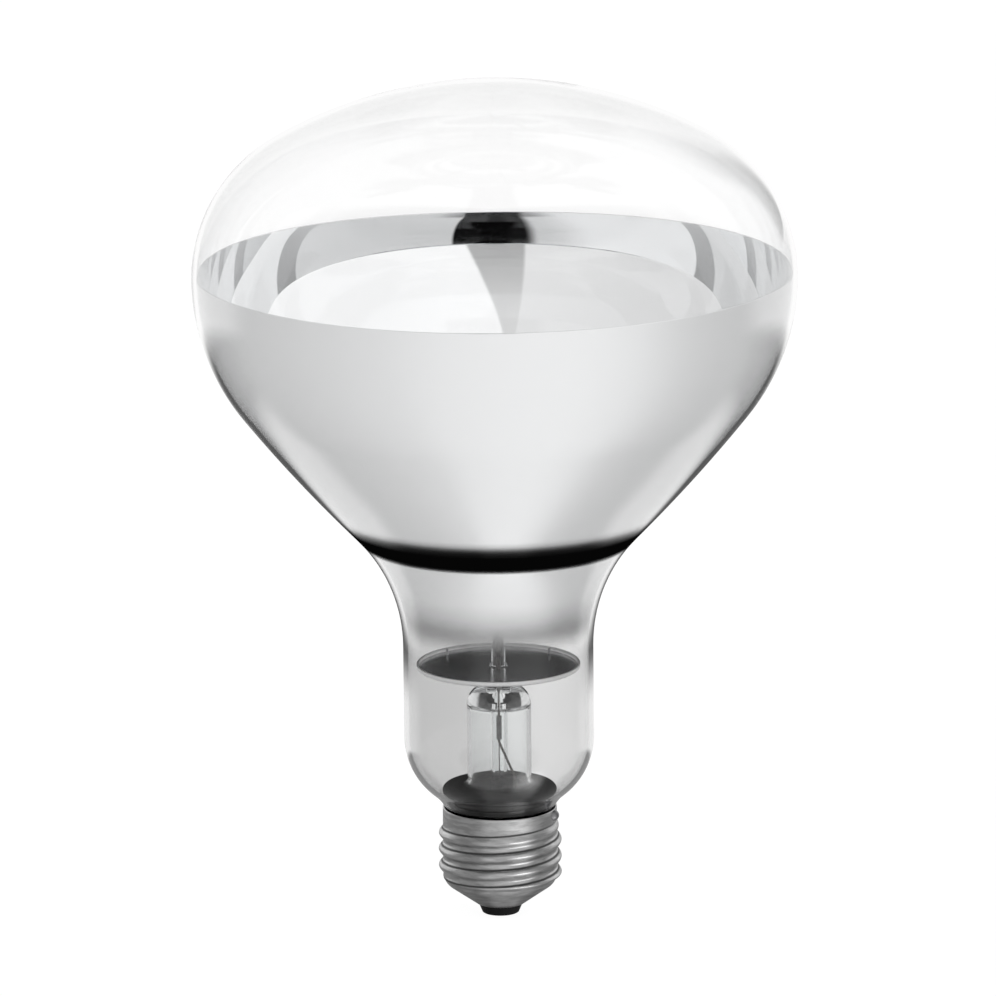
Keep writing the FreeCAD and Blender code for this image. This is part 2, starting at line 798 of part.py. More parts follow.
def make_filament_hook(number):
    """Wire that runs out from the button and turns round the coil."""
    body = new_body(f"filament_hook_{number + 1}")
    start = dims.button_diameter / 2 - dims.hook_depth
    route = Outline(body, f"hook_route_{number + 1}")
    run = route.line((float(start), float(hook_height)), (float(dims.ring_radius), float(hook_height)))
    middle = (float(dims.ring_radius), float(filament_height))
    turn = route.arc(middle, float(loop_radius), DOWN_ANGLE, DOWN_ANGLE + float(dims.hook_turn))
    route.meet("Tangent", 0, 1)
    route.at(run, START, start, hook_height)
    route.hold("Horizontal", run)
    route.at(turn, CENTRE, dims.ring_radius, filament_height)
    reach = Part.LineSegment(Vector(*middle), route.sketch.getPoint(turn, END))
    swept = route.sketch.addGeometry(reach, True)
    route.hold("Coincident", swept, START, turn, CENTRE)
    route.hold("Coincident", swept, END, turn, END)
    route.hold("Angle", swept, by=dims.hook_turn + DOWN_ANGLE - FULL_TURN_ANGLE)
    ring = Outline(body, f"hook_wire_{number + 1}", "YZ_Plane", start)
    ring.circle(0, hook_height, dims.hook_wire / 2)
    pipe = body.newObject("PartDesign::AdditivePipe", f"hook_{number + 1}")
    pipe.Profile = ring.sketch
    pipe.Spine = (route.sketch, [])
    azimuth = dims.hook_spread * number / (HOOK_COUNT - 1) - dims.hook_spread / 2
    body.Placement = Placement(Vector(), Rotation(LAMP_AXIS, 1))
    body.setExpression("Placement.Rotation.Angle", azimuth.words)


def make_inner_lead(label, side):
    """Stiff wire from the press, through the heat shield, to a clamp on one end of the filament."""
    clamp_turn = math.degrees(float(dims.clamp_length / dims.ring_radius) / 2)
    azimuth = side * (float(dims.ring_sweep) / 2 - clamp_turn)
    bore = dims.coil_diameter / 2 + dims.fit_gap
    foot = Vector(0, side * float(lead_offset), float(lead_joint))
    first_bend = Vector(foot.x, foot.y, float(press_top + dims.lead_rise))
    last_bend = around(dims.ring_radius, azimuth, filament_height - dims.lead_drop)
    tip = around(dims.ring_radius, azimuth, filament_height - bore - dims.clamp_wall / 2)
    wire = bent_wire([foot, first_bend, last_bend, tip], dims.lead_bend, dims.inner_lead)
    along = around(1, azimuth + 90, 0)
    low_end = around(dims.ring_radius, azimuth, filament_height) - along * float(dims.clamp_length / 2)
    outside = Part.makeCylinder(float(bore + dims.clamp_wall), float(dims.clamp_length), low_end, along)
    inside = Part.makeCylinder(float(bore), float(dims.clamp_length), low_end, along)
    solid(label, wire.fuse(outside).cut(inside).removeSplitter())


def make_outer_lead_rim():
    """Thin wire from the press down through the stem, under the bulb's stub and out over the cap rim."""
    offset = -float(lead_offset)
    across = float(jog_across)
    jog_top = float(stem_ceiling - dims.jog_drop)
    under = float(stub_end - dims.stub_clearance)
    azimuth = dims.rim_lead_angle
    height = float(rim_lead_height)
    route = [
        Vector(0, offset, float(lead_joint)),
        Vector(0, offset, jog_top),
        Vector(across, offset, jog_top - float(dims.jog_length)),
        Vector(across, offset, under),
        around(rim_lead_radius, azimuth, under),
        around(rim_lead_radius, azimuth, height),
        around(root_radius + dims.rim_lead_reach, azimuth, height),
    ]
    upper = bent_wire(route[:4] + [half_way(route[3], route[4])], dims.jog_bend, dims.outer_lead)
    lower = bent_wire([half_way(route[3], route[4])] + route[4:], dims.rim_lead_bend, dims.outer_lead)
    return solid("outer_lead_rim", upper.fuse(lower).removeSplitter())


def half_way(first, second):
    return (first + second) / 2


def make_outer_lead_centre():
    """Thin wire from the press down beside the exhaust tube, then through the insulator to the contact."""
    offset = float(lead_offset)
    bend_height = float(exhaust_tip - dims.outer_lead)
    route = [
        Vector(0, offset, float(lead_joint)),
        Vector(0, offset, bend_height),
        Vector(0, 0, bend_height - float(dims.centre_lead_slope)),
        Vector(0, 0, float(insulator_seat)),
    ]
    solid("outer_lead_centre", bent_wire(route, dims.centre_lead_bend, dims.outer_lead))


def make_splice_sleeve():
    """Small metal sleeve on the front wire inside the stem."""
    body = new_body("lead_splice_sleeve")
    low = stem_ceiling - dims.sleeve_drop - dims.sleeve_length
    outline = Outline(body, "sleeve_outline", "XY_Plane", low)
    outline.circle(0, -lead_offset, dims.sleeve_diameter / 2)
    outline.circle(0, -lead_offset, dims.outer_lead / 2 + dims.wire_gap)
    add(body, "Pad", "sleeve", outline, Length=dims.sleeve_length)


def make_heat_shield():
    """Pressed disc with an upturned lip, on the press, that keeps the heat off the neck and the cap."""
    body = new_body("heat_shield")
    low = press_top
    edge = shield_radius
    wall = dims.shield_thickness
    bend = dims.shield_bend
    section = Outline(body, "shield_section")
    section.polygon(
        [
            (0, low),
            (edge - bend, low),
            (edge, low + bend),
            (edge, low + dims.shield_lip),
            (edge - wall, low + dims.shield_lip),
            (edge - wall, low + bend),
            (edge - bend, low + wall),
            (0, low + wall),
        ],
        {1: (bend, 1), 5: (bend - wall, -1)},
    )
    add(body, "Revolution", "disc", section, Angle=360)
    half_width = dims.slot_width / 2
    half_run = dims.slot_length / 2 - half_width
    slot = Outline(body, "slot_outline", "XY_Plane", low + wall)
    right = slot.line((float(half_width), -float(half_run)), (float(half_width), float(half_run)))
    back = slot.arc((0, float(half_run)), float(half_width), 0, HALF_TURN_ANGLE)
    left = slot.line((-float(half_width), float(half_run)), (-float(half_width), -float(half_run)))
    front = slot.arc((0, -float(half_run)), float(half_width), HALF_TURN_ANGLE, FULL_TURN_ANGLE)
    for number in range(4):
        slot.meet("Coincident", number, (number + 1) % 4)
    slot.at(right, START, half_width, -half_run)
    slot.at(right, END, half_width, half_run)
    slot.at(left, START, -half_width, half_run)
    slot.at(left, END, -half_width, -half_run)
    slot.at(back, CENTRE, None, half_run)
    slot.at(front, CENTRE, None, -half_run)
    add(body, "Pocket", "slot", slot, Length=wall)
    holes = Outline(body, "wire_holes_outline", "XY_Plane", low + wall)
    for across in (-shield_wire_across, shield_wire_across):
        holes.circle(across, shield_wire_along, dims.shield_wire / 2 + dims.wire_gap)
    add(body, "Pocket", "wire_holes", holes, Length=wall)


def make_shield_wire(label, side):
    """Wire from the side of the press out under the shield and up through it."""
    height = float(shield_wire_height)
    start = float(dims.press_thickness / 2 - dims.socket_depth)
    tip_height = float(press_top + dims.shield_thickness + dims.shield_wire_tip)
    outer = (side * float(shield_wire_across), float(shield_wire_along))
    route = [
        Vector(side * start, 0, height),
        Vector(side * (start + float(dims.socket_depth + dims.shield_wire_stub)), 0, height),
        Vector(*outer, height),
        Vector(*outer, tip_height),
    ]
    solid(label, bent_wire(route, dims.shield_wire_bend, dims.shield_wire))


def thread_lift(height):
    """How far the thread's crest stands out beyond its root at a height, halved, with run-in and run-out."""
    low, high = float(shoulder_height), float(shoulder_height + dims.thread_length)
    rising = min(max((height - low) / float(dims.thread_start), 0), 1)
    falling = min(max((high - height) / float(dims.thread_end), 0), 1)
    share = (rising**2 * (3 - 2 * rising)) * (falling**2 * (3 - 2 * falling))
    return share * float(dims.thread_depth) / 2


def thread_skin(inset):
    """Solid inside the rolled thread: a loft of circles whose centres wind round the axis once a pitch."""
    turns = float(dims.thread_length / dims.thread_pitch)
    steps = math.ceil(turns * RINGS_PER_TURN)
    rings = []
    for step in range(steps + 1):
        height = float(shoulder_height) + float(dims.thread_length) * step / steps
        lift = thread_lift(height)
        azimuth = FULL_TURN_ANGLE * (height - float(dims.thread_phase)) / float(dims.thread_pitch)
        ring = Part.Circle(around(lift, azimuth, height), LAMP_AXIS, float(root_radius) + lift - inset)
        rings.append(Part.Wire(ring.toShape()))
    return Part.makeLoft(rings, True, False)


def make_screw_shell():
    """Rolled and threaded cap shell: cone and shoulder below, thread, plain collar with a wire notch."""
    wall = float(dims.shell_wall)
    fall = -float(dims.cap_cone_angle)
    mouth = Vector(float(dims.cap_mouth_radius), 0, float(dims.cap_mouth_height))
    middle = Vector(float(shoulder_middle), 0, float(shoulder_height))
    edges = []
    corners = []
    for inset in (0, wall):
        radius = float(dims.cap_shoulder) - inset
        points = [mouth - around_section(fall, inset)]
        points += [middle + around_section(angle, radius) for angle in (fall, fall / 2, 0)]
        edges.append(Part.LineSegment(points[0], points[1]).toShape())
        edges.append(Part.Arc(points[1], points[2], points[3]).toShape())
        corners.append((points[0], points[3]))
    (outer_low, outer_high), (inner_low, inner_high) = corners
    edges.append(Part.LineSegment(outer_high, inner_high).toShape())
    edges.append(Part.LineSegment(inner_low, outer_low).toShape())
    section = Part.Face(Part.Wire(Part.__sortEdges__(edges)))
    bottom = section.revolve(Vector(), LAMP_AXIS, 360)
    thread = thread_skin(0).cut(thread_skin(wall))
    collar_low = Vector(0, 0, float(shoulder_height + dims.thread_length))
    collar_height = float(dims.collar_height)
    collar = Part.makeCylinder(float(root_radius), collar_height, collar_low)
    collar = collar.cut(Part.makeCylinder(float(shell_inside), collar_height, collar_low))
    width, reach = float(dims.notch_width), float(dims.notch_reach)
    notch = Part.makeBox(reach * 2, width, float(dims.notch_depth), Vector(-reach, -width / 2, 0))
    notch.Placement = Placement(
        around(root_radius, dims.rim_lead_angle, cap_rim - dims.notch_depth),
        Rotation(LAMP_AXIS, float(dims.rim_lead_angle)),
    )
    solid("screw_shell", bottom.multiFuse([thread, collar]).removeSplitter().cut(notch))


def around_section(angle, radius):
    """A step in the XZ plane, by an angle above the radial direction and a distance."""
    turn = math.radians(angle)
    return Vector(math.cos(turn), 0, math.sin(turn)) * radius


def make_cap_insulator():
    """Black glass moulded into the cap's cone, with the hole for the centre wire."""
    body = new_body("cap_insulator")
    inset = dims.shell_wall + dims.wire_gap
    edge = dims.cap_mouth_radius - inset * cone_cosine
    edge_height = dims.cap_mouth_height + inset * cone_sine
    top = edge + (insulator_top - edge_height) * cone_sine / cone_cosine
    section = Outline(body, "insulator_section")
    section.polygon(
        [
            (dims.insulator_hole / 2, insulator_seat),
            (dims.insulator_rim, insulator_seat),
            (edge, edge_height),
            (top, insulator_top),
            (dims.insulator_hole / 2, insulator_top),
        ]
    )
    add(body, "Revolution", "insulator", section, Angle=360)


def make_contact_plate():
    """Round brass plate under the insulator."""
    body = new_body("contact_plate")
    edge = dims.contact_edge
    rim = dims.contact_diameter / 2
    section = Outline(body, "plate_section")
    section.polygon(
        [
            (dims.contact_hole / 2, dims.solder_height),
            (rim - edge, dims.solder_height),
            (rim, dims.solder_height + edge),
            (rim, insulator_seat),
            (dims.contact_hole / 2, insulator_seat),
        ],
        {1: (edge, 1)},
    )
    add(body, "Revolution", "plate", section, Angle=360)


def make_contact_solder():
    """Solder that closes the plate's hole on the wire's end and makes the flat centre contact."""
    body = new_body("contact_solder")
    plug = dims.contact_hole / 2 - dims.wire_gap
    section = Outline(body, "solder_section")
    section.polygon(
        [
            (0, 0),
            (dims.solder_flat / 2, 0),
            (dims.solder_diameter / 2, dims.solder_height),
            (plug, dims.solder_height),
            (plug, insulator_seat),
            (0, insulator_seat),
        ],
        {1: (dims.solder_curve, 1)},
    )
    add(body, "Revolution", "solder", section, Angle=360)


def make_rim_solder(lead):
    """Bead of solder that joins the thin wire to the outside of the cap's rim."""
    radius = root_radius - dims.rim_solder_sink
    height = cap_rim - dims.rim_solder_drop
    bead = Part.makeSphere(float(dims.rim_solder_radius), around(radius, dims.rim_lead_angle, height))
    shell = Part.makeCylinder(float(root_radius), float(height + dims.rim_solder_radius))
    solid("rim_solder", bead.cut(shell).cut(lead.Shape))


def make_capping_cement():
    """Ring of cement between the bulb's stub and the cap, with a channel for the thin wire."""
    body = new_body("capping_cement")
    outer = shell_inside - dims.wire_gap
    inner = stub_radius + dims.glass_gap
    hollow = dims.throat_radius - dims.glass_gap
    rise = cement_top - throat_height
    top_inner = throat_middle - root(hollow * hollow - rise * rise)
    low = stub_end - dims.cement_below
    section = Outline(body, "cement_section")
    section.polygon(
        [
            (inner, low),
            (outer, low),
            (outer, cement_top),
            (top_inner, cement_top),
            (inner, throat_height),
        ],
        {3: (hollow, 1)},
    )
    add(body, "Revolution", "cement", section, Angle=360)
    channel = Outline(body, "channel_outline", "XY_Plane", cement_top)
    across = rim_lead_radius * cosine(dims.rim_lead_angle)
    along = rim_lead_radius * sine(dims.rim_lead_angle)
    channel.circle(across, along, dims.outer_lead / 2 + dims.glass_gap)
    add(body, "Pocket", "channel", channel, Length=cement_top - low)


make_glass_bulb()
make_mirror_coating()
make_stem_flare()
make_exhaust_tube()
make_support_rod()
make_filament()
for hook in range(HOOK_COUNT):
    make_filament_hook(hook)
make_inner_lead("inner_lead_front", -1)
make_inner_lead("inner_lead_back", 1)
rim_lead = make_outer_lead_rim()
make_outer_lead_centre()
make_splice_sleeve()
make_heat_shield()
make_shield_wire("shield_wire_left", -1)
make_shield_wire("shield_wire_right", 1)
make_screw_shell()
make_cap_insulator()
make_contact_plate()
make_contact_solder()
make_rim_solder(rim_lead)
make_capping_cement()

doc.recompute()
failed = [thing.Label for thing in doc.Objects if {"Invalid", "Error"} & set(thing.State)]
failed += [piece.Label for piece in pieces if piece.Shape.isNull() or not piece.Shape.isValid()]
if failed:
    raise RuntimeError("these failed: " + ", ".join(failed))
os.makedirs("parts", exist_ok=True)
for piece in pieces:
    piece.Shape.exportStep(f"parts/{piece.Label}.step")
    print(f"{piece.Label}: {len(piece.Shape.Solids)} solid, {piece.Shape.Volume:.3f} mm3")
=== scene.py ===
import json
import math

import bpy
from mathutils import Matrix, Vector


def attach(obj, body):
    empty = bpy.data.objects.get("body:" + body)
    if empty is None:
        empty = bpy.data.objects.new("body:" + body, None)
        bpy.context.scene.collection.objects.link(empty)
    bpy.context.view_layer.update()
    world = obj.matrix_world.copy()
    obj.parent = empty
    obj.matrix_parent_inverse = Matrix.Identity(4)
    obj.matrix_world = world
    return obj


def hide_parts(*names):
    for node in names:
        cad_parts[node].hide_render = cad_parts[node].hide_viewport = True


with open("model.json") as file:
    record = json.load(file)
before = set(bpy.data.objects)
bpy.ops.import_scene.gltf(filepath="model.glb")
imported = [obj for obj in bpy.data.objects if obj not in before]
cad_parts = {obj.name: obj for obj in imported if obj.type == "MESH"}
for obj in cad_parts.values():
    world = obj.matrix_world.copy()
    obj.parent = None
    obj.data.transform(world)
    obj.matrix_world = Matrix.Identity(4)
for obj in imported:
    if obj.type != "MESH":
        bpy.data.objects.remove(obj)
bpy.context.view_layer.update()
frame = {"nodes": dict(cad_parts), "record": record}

nodes = frame["nodes"]
materials = {}  # by the record's slot
mm = 0.001
print("frame loaded:", len(nodes), "pieces")


# Shader maths: a socket is wrapped, so that sums are written as sums

class Wire:
    def __init__(self, shader, socket):
        self.shader = shader
        self.socket = socket

    def maths(self, operation, *others, clamp=False):
        amounts = {f"at{place}": amount for place, amount in enumerate((self, *others))}
        return self.shader.node("Math", {"operation": operation, "use_clamp": clamp}, **amounts)

    def __neg__(self):
        return self.maths("MULTIPLY", -1.0)

    def __add__(self, other):
        return self.maths("ADD", other)

    def __radd__(self, other):
        return self.maths("ADD", other)

    def __sub__(self, other):
        return self.maths("SUBTRACT", other)

    def __rsub__(self, other):
        return self.maths("MULTIPLY_ADD", -1.0, other)

    def __mul__(self, other):
        return self.maths("MULTIPLY", other)

    def __rmul__(self, other):
        return self.maths("MULTIPLY", other)

    def __truediv__(self, other):
        return self.maths("DIVIDE", other)

    def __rtruediv__(self, other):
        return self.maths("POWER", -1.0) * other

    def below(self, limit):
        return self.maths("LESS_THAN", limit)

    def ramp(self, low, high, start=0.0, end=1.0):  # a smooth step between two limits
        return self.shader.node("MapRange", {"interpolation_type": "SMOOTHSTEP"}, Value=self,
                                From_Min=low, From_Max=high, To_Min=start, To_Max=end)

    def fall(self, low, high):  # 1 below two limits, 0 above them
        return self.ramp(low, high, 1.0, 0.0)

    def band(self, low, high, soft):  # 1 between two limits, 0 outside
        return self.ramp(low - soft, low + soft) * self.fall(high - soft, high + soft)


class Shader:
    def __init__(self, owner):
        owner.use_nodes = True
        self.owner = owner
        self.tree = owner.node_tree
        self.tree.nodes.clear()

    def plug(self, slot, amount):
        if isinstance(amount, Wire):
            self.tree.links.new(amount.socket, slot)
        elif slot.type == "RGBA":
            slot.default_value = (*amount, 1.0)
        else:
            slot.default_value = amount

    def node(self, kind, settings=None, output=0, **sockets):  # sockets go by name, or at6 is number 6
        made = self.tree.nodes.new("ShaderNode" + kind)
        for name, value in (settings or {}).items():
            setattr(made, name, value)
        for name, amount in sockets.items():
            place = int(name[2:]) if name.startswith("at") else name.replace("_", " ")
            self.plug(made.inputs[place], amount)
        if isinstance(output, tuple):
            return [Wire(self, made.outputs[name]) for name in output]
        return Wire(self, made.outputs[output])

    def finish(self, surface, kind="OutputMaterial"):
        self.node(kind, output=(), Surface=surface)
        return self.owner

    def noise(self, size, detail, stretch=(1, 1, 1)):  # size is in patches to a metre
        spot = self.node("Mapping", Vector=self.node("TexCoord", output="Object"), Scale=stretch)
        return self.node("TexNoise", Vector=spot, Scale=size, Detail=detail, Roughness=0.55)

    def axes(self, kind="Object"):  # x, y and z, in metres on an object
        return self.node("SeparateXYZ", output=("X", "Y", "Z"), at0=self.node("TexCoord", output=kind))

    def height(self):  # in millimetres
        return self.axes()[2] / mm

    def bump(self, amount, strength, depth=0.2):  # depth in millimetres
        return self.node("Bump", Height=amount, Strength=strength, Distance=depth * mm)

    def ripple(self, size, strength):  # slow waves of blown glass
        return self.bump(self.noise(size, detail=2), strength, depth=1)

    def blend(self, share, first, second):  # colours mixed by a wire
        return self.node("Mix", {"data_type": "RGBA"}, output=2, at0=share, at6=first, at7=second)

    def mottle(self, cloud, dark, light):  # dark and light patches
        return self.blend(cloud.ramp(0.35, 0.65), dark, light)


def newMaterial(name):
    return Shader(bpy.data.materials.new(name))


# Modelling helpers

mergeWithin = 0.002 * mm


def polar(angle):  # unit vector in a lengthwise section, angle in degrees above the radial direction
    return Vector((math.cos(math.radians(angle)), math.sin(math.radians(angle))))


def arcPoints(middle, radius, start, end, step):  # step is the longest piece of arc
    count = max(2, math.ceil(abs(radius * math.radians(end - start)) / step))
    return [middle + polar(start + (end - start) * i / count) * radius for i in range(count + 1)]


def rowPoints(start, end, count):  # evenly spaced towards end, without start
    return [start.lerp(end, i / count) for i in range(1, count + 1)]


def cutBetween(points, top, bottom):  # the stretch of a falling outline between two heights, ends included
    kept = []
    for here, there in zip(points, points[1:]):
        for level in (top, bottom):
            if here.y > level >= there.y:
                kept.append(here.lerp(there, (here.y - level) / (here.y - there.y)))
        if bottom < there.y < top:
            kept.append(there)
    return kept


def lathe(name, outline, steps):  # outline holds points (across, up) in millimetres
    across, up = outline[0]
    bpy.ops.object.select_all(action="DESELECT")
    bpy.ops.mesh.primitive_plane_add(size=mm, location=(across * mm, 0, up * mm))
    piece = bpy.context.object
    piece.name = name
    piece.data.name = name
    bpy.ops.object.transform_apply(location=True, rotation=True, scale=True)
    bpy.ops.object.mode_set(mode="EDIT")
    bpy.ops.mesh.select_all(action="SELECT")
    bpy.ops.mesh.merge(type="CENTER")
    for here, there in zip(outline, outline[1:]):
        move = ((there[0] - here[0]) * mm, 0, (there[1] - here[1]) * mm)
        bpy.ops.mesh.extrude_region_move(TRANSFORM_OT_translate={"value": move})
    bpy.ops.mesh.select_all(action="SELECT")
    bpy.ops.mesh.spin(steps=steps, angle=2 * math.pi, center=(0, 0, 0), axis=(0, 0, 1))
    bpy.ops.mesh.select_all(action="SELECT")
    bpy.ops.mesh.remove_doubles(threshold=mergeWithin)
    bpy.ops.mesh.normals_make_consistent(inside=False)
    bpy.ops.mesh.select_all(action="DESELECT")
    bpy.ops.object.mode_set(mode="OBJECT")
    bpy.ops.object.shade_smooth()
    return piece


def thicken(piece, wall):  # a wall inwards from the modelled face
    solidify = piece.modifiers.new("wall", "SOLIDIFY")
    solidify.thickness = wall * mm
    solidify.offset = -1
    solidify.use_even_offset = True
    solidify.use_quality_normals = True
    bpy.ops.object.modifier_apply(modifier=solidify.name)


def dress(piece, node, slot):  # the piece stands for a CAD node and takes a finish
    piece.data.materials.clear()
    piece.data.materials.append(materials[slot])
    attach(piece, "root")
    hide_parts(node)


# Glass bulb

bulbValues = {  # millimetres and degrees
    "length": 179.2,
    "across": 127.0,
    "widest": 138.6,           # height of the widest place
    "upperShoulder": 32.4,     # radius above it
    "lowerShoulder": 45.2,     # radius below it
    "flank": 340.9,            # radius of the long slope
    "coneAngle": 46.5,         # slope's foot above the horizontal
    "neckFillet": 35.2,
    "neckTop": 58.93,          # height where the straight neck ends
    "neckAcross": 40.2,
    "baseShoulder": 15.5,      # radius under the neck
    "throat": 9.0,             # radius into the stub, and its centre's height
    "throatHeight": 19.9,
    "stubAcross": 21.4,        # in the cap
    "stubEnd": 17.0,
    "wall": 1.0,
    "steps": 160,              # round the axis
    "grain": 1.6,              # longest step along the shoulders and the slope
    "faceGrain": 2.4,
    "baseGrain": 0.96,
    "neckRows": 10,
    "stubRows": 3,
    "tint": (1.0, 1.0, 1.0),
    "neckGrey": (0.85, 0.85, 0.85),
    "neckGreyBetween": (50, 85),  # heights over which the neck's glass goes from grey to clear
    "ior": 1.47,
    "wave": 0.03,
    "waveSize": 18,
    "blackFrom": (81.1, 82.5),   # heights over which the black ring at the slope's foot, a painted dark reflection, begins
    "blackTo": (85.3, 88.9),     # and ends
}


# painted black, for a dark reflection on the bulb and shade at the stem's foot
paintedDarkBlack = (0.002, 0.002, 0.002)


def makeGlass(s, values, colour):  # clear glass with one black band of painted dark: a reflection on the bulb, shade at the stem's foot
    height = s.height()
    glass = s.node("BsdfPrincipled", Base_Color=colour, Roughness=0.0, IOR=values["ior"],
                   Transmission_Weight=1.0, Normal=s.ripple(values["waveSize"], values["wave"]))
    black = height.ramp(*values["blackFrom"]) * height.fall(*values["blackTo"])
    paintedDark = s.node("BsdfDiffuse", Color=paintedDarkBlack)
    return s.finish(s.node("MixShader", at0=black, at1=glass, at2=paintedDark))


def makeClearGlass():
    s = newMaterial("clearGlass")
    b = bulbValues
    return makeGlass(s, b, s.blend(s.height().ramp(*b["neckGreyBetween"]), b["neckGrey"], b["tint"]))


def bulbOutline(inset):  # section of the bulb from the clear face to the stub, inset from its outer face
    b = bulbValues
    half, neck, stub = b["across"] / 2, b["neckAcross"] / 2, b["stubAcross"] / 2
    fall = 90 - b["coneAngle"]
    normal = polar(-fall)
    faceAcross = half - b["upperShoulder"]
    faceRise = b["length"] - b["widest"]
    spare = faceRise - b["upperShoulder"]
    faceRadius = (faceAcross**2 + faceRise**2 - b["upperShoulder"]**2) / (2 * spare)
    faceMiddle = Vector((0, b["length"] - faceRadius))
    upper = Vector((faceAcross, b["widest"]))
    lower = Vector((half - b["lowerShoulder"], b["widest"]))
    fillet = Vector((neck + b["neckFillet"], b["neckTop"]))
    foot = fillet - normal * b["neckFillet"]
    share = (lower.dot(normal) + b["flank"] - foot.dot(normal)) / (b["flank"] - b["lowerShoulder"])
    turn = fall - math.degrees(math.acos(share))
    flank = lower - polar(-turn) * (b["flank"] - b["lowerShoulder"])
    throat = Vector((stub + b["throat"], b["throatHeight"]))
    reach = b["baseShoulder"] + b["throat"]
    run = throat.x - neck + b["baseShoulder"]
    base = Vector((neck - b["baseShoulder"], throat.y + math.sqrt(reach**2 - run**2)))
    throatTurn = math.degrees(math.acos(run / reach))
    lean = upper - faceMiddle
    rise = math.degrees(math.atan2(lean.y, lean.x))
    points = arcPoints(faceMiddle, faceRadius - inset, 90, rise, b["faceGrain"])
    points[0].x = 0
    points += arcPoints(upper, b["upperShoulder"] - inset, rise, 0, b["grain"])[1:]
    points += arcPoints(lower, b["lowerShoulder"] - inset, 0, -turn, b["grain"])[1:]
    points += arcPoints(flank, b["flank"] - inset, -turn, -fall, b["grain"])[1:]
    points += arcPoints(fillet, b["neckFillet"] + inset, 180 - fall, 180, b["grain"])
    points += rowPoints(points[-1], Vector((neck - inset, base.y)), b["neckRows"])
    points += arcPoints(base, b["baseShoulder"] - inset, 0, -throatTurn, b["baseGrain"])[1:]
    points += arcPoints(throat, b["throat"] + inset, 180 - throatTurn, 180, b["baseGrain"])[1:]
    points += rowPoints(points[-1], Vector((stub - inset, b["stubEnd"])), b["stubRows"])
    return points


def makeBulb():
    materials["clear_glass"] = makeClearGlass()
    glass = lathe("glassBulb", bulbOutline(0), bulbValues["steps"])
    thicken(glass, bulbValues["wall"])
    dress(glass, "glass_bulb", "clear_glass")
    print("bulb made:", len(glass.data.vertices), "points")


# Mirror on the inside of the bulb, thinner and ragged at its lower end

mirrorValues = {  # millimetres
    "gap": 0.05,               # to the glass
    "film": 0.12,
    "rim": 140.3,
    "end": 60.0,
    "reflect": (0.84, 0.845, 0.85),
    "rough": 0.015,
    "ragged": 1.6,             # how far the lower end wanders up and down
    "raggedSize": 90,
    "cover": (61.0, 68.5),     # heights over which it goes from none to full cover
    "thin": (62.0, 74.0),      # heights over which it goes from thin and dim to bright
    "thinShare": 0.4,          # brightness where it is thin
    "wave": 0.03,
    "waveSize": 14,
}


def makeMirrorFilm():
    s = newMaterial("mirrorFilm")
    m = mirrorValues
    ragged = s.height() + (s.noise(m["raggedSize"], detail=4) - 0.5) * m["ragged"]
    dim = tuple(part * m["thinShare"] for part in m["reflect"])
    colour = s.blend(ragged.ramp(*m["thin"]), dim, m["reflect"])
    return s.finish(s.node("BsdfPrincipled", Base_Color=colour, Metallic=1.0, Roughness=m["rough"],
                           Alpha=ragged.ramp(*m["cover"]), Normal=s.ripple(m["waveSize"], m["wave"])))


def makeMirror():
    m = mirrorValues
    materials["mirror_film"] = makeMirrorFilm()
    outline = bulbOutline(bulbValues["wall"] + m["gap"])
    film = lathe("mirrorFilm", cutBetween(outline, m["rim"], m["end"]), bulbValues["steps"])
    thicken(film, m["film"])
    dress(film, "mirror_coating", "mirror_film")
    print("mirror made:", len(film.data.vertices), "points")


makeBulb()
makeMirror()


# Stem, button and exhaust tube: clear drawn glass, black at the foot as painted shade

stemValues = {
    "tint": (0.99, 1.0, 1.0),
    "ior": 1.47,
    "wave": 0.06,
    "waveSize": 120,
    "blackFrom": (0, 1),       # heights in millimetres of the painted shade at the foot
    "blackTo": (28.5, 29.3),
}

materials["stem_glass"] = makeGlass(newMaterial("stemGlass"), stemValues, stemValues["tint"])


# Heat shield: a dull disc with a painted highlight on its rolled lip

shieldValues = {
    "light": (0.5, 0.5, 0.51),
    "dark": (0.36, 0.36, 0.37),
    # painted highlight on the rolled lip
    "lip": (0.97, 0.97, 0.97),
    "lipFrom": (16.6, 16.9),   # radius in millimetres
    "rough": 0.2,
    "lipRough": 0.45,
    "spread": 0.08,            # of the roughness
    "cloudSize": 300,
    "fineSize": 1800,
    "bump": 0.1,
}


def makeShieldMetal():
    s = newMaterial("shieldMetal")
    v = shieldValues
    x, y = s.axes()[:2]
    # painted highlight: the rolled lip is made brighter and rougher
    lip = ((x * x + y * y).maths("SQRT") / mm).ramp(*v["lipFrom"])
    fine = s.noise(v["fineSize"], detail=3)
    disc = s.mottle(s.noise(v["cloudSize"], detail=5), v["dark"], v["light"])
    rough = lip * (v["lipRough"] - v["rough"]) + fine * v["spread"] + (v["rough"] - v["spread"] / 2)
    return s.finish(s.node("BsdfPrincipled", Base_Color=s.blend(lip, disc, v["lip"]), Metallic=1.0,
                           Roughness=rough, Normal=s.bump(fine, v["bump"])))


materials["shield_metal"] = makeShieldMetal()


# Wires, sleeve, contact and solder: each with a cloudy tone and a fine grain

